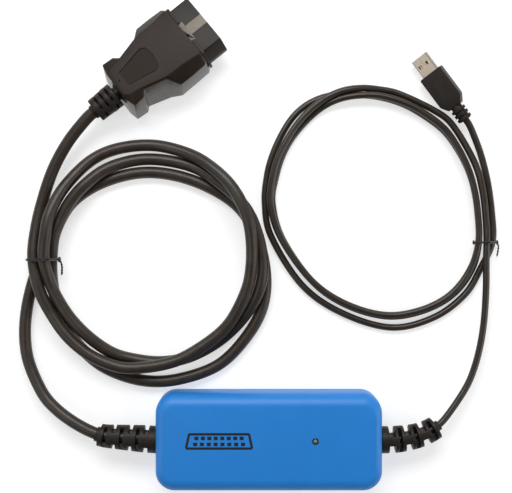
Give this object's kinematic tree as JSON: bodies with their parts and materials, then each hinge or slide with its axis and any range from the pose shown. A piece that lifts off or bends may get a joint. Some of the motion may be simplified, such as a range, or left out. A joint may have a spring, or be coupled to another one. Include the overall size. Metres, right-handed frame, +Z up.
{
  "type": "obd code reader",
  "caption": "Vehicle diagnostic interface: a rounded blue box with a coiled lead to a D-shaped vehicle plug and a coiled lead to a flat computer plug.",
  "frame": {"origin": "centre of the interface box's underside, on the table", "axes": "+X along the box, towards the computer cable's end; +Y across the box, towards the coils; +Z up from the table"},
  "size_m": [0.3314, 0.3328, 0.0326],
  "materials": {
    "shell_blue": "satin",
    "board_green": "semi-gloss",
    "chip_black": "matte",
    "capacitor_aluminium": "satin",
    "crystal_steel": "satin",
    "header_ivory": "satin",
    "wire_red": "satin",
    "wire_green": "satin",
    "wire_orange": "satin",
    "bezel_black": "satin",
    "lamp_lens": "gloss",
    "screw_steel": "satin",
    "boot_black": "matte",
    "cable_black": "satin",
    "tie_black": "satin",
    "plug_grey": "matte",
    "shroud_black": "satin",
    "carrier_grey": "matte",
    "contact_brass": "satin",
    "overmould_black": "fine dimples",
    "shell_steel": "satin",
    "insulator_white": "satin"
  },
  "bodies": {
    "interface_box": {"lower_shell": "shell_blue", "upper_shell": "shell_blue", "circuit_board": "board_green", "microcontroller": "chip_black", "interface_chips": "chip_black", "voltage_regulator": "chip_black", "capacitors": "capacitor_aluminium", "crystal": "crystal_steel", "obd_header": "header_ivory", "usb_header": "header_ivory", "obd_wires": "wire_red", "usb_wires": "wire_green", "led_bezel": "bezel_black", "status_led": "lamp_lens", "case_screws": "screw_steel", "board_screws": "screw_steel"},
    "vehicle_cable": {"obd_box_boot": "boot_black", "obd_cable": "cable_black", "obd_twist_tie": "tie_black"},
    "computer_cable": {"usb_box_boot": "boot_black", "usb_cable": "cable_black", "usb_twist_tie": "tie_black"},
    "vehicle_plug_boot": {"obd_plug_boot": "boot_black"},
    "vehicle_plug": {"obd_plug_upper_cover": "plug_grey", "obd_plug_lower_cover": "plug_grey", "obd_plug_shroud": "shroud_black", "obd_contact_carrier": "carrier_grey", "obd_contacts": "contact_brass", "obd_plug_wires": "wire_orange", "obd_plug_screws": "screw_steel"},
    "computer_plug_boot": {"usb_plug_boot": "boot_black"},
    "computer_plug": {"usb_overmould": "overmould_black", "usb_shell": "shell_steel", "usb_insulator": "insulator_white", "usb_contacts": "contact_brass", "usb_plug_wires": "wire_green"}
  },
  "joints": [
    {"name": "vehicle_cable_swing", "type": "hinge", "parent": "interface_box", "child": "vehicle_cable", "pos_m": [-0.075, 0, 0.0135], "axis": [0, 0, 1], "range_deg": [0, 20], "deforming": ["obd_box_boot"]},
    {"name": "computer_cable_swing", "type": "hinge", "parent": "interface_box", "child": "computer_cable", "pos_m": [0.075, 0, 0.0135], "axis": [0, 0, 1], "range_deg": [-20, 0], "deforming": ["usb_box_boot"]},
    {"name": "vehicle_boot_bend", "type": "hinge", "parent": "vehicle_cable", "child": "vehicle_plug_boot", "pos_m": [-0.11868, 0.22196, 0.017], "axis": [0, 0, 1], "range_deg": [-15, 15], "deforming": ["obd_plug_boot"]},
    {"name": "vehicle_plug_lift", "type": "hinge", "parent": "vehicle_plug_boot", "child": "vehicle_plug", "pos_m": [-0.1019, 0.2354, 0.017], "axis": [0.6252, -0.7804, 0], "range_deg": [0, 25], "deforming": ["obd_plug_boot"]},
    {"name": "computer_boot_bend", "type": "hinge", "parent": "computer_cable", "child": "computer_plug_boot", "pos_m": [0.13547, 0.21818, 0.0079], "axis": [0, 0, 1], "range_deg": [-25, 0], "deforming": ["usb_plug_boot"]},
    {"name": "computer_plug_lift", "type": "hinge", "parent": "computer_plug_boot", "child": "computer_plug", "pos_m": [0.1286, 0.2274, 0.0079], "axis": [0.8018, 0.5976, 0], "range_deg": [0, 35], "deforming": ["usb_plug_boot"]}
  ]
}
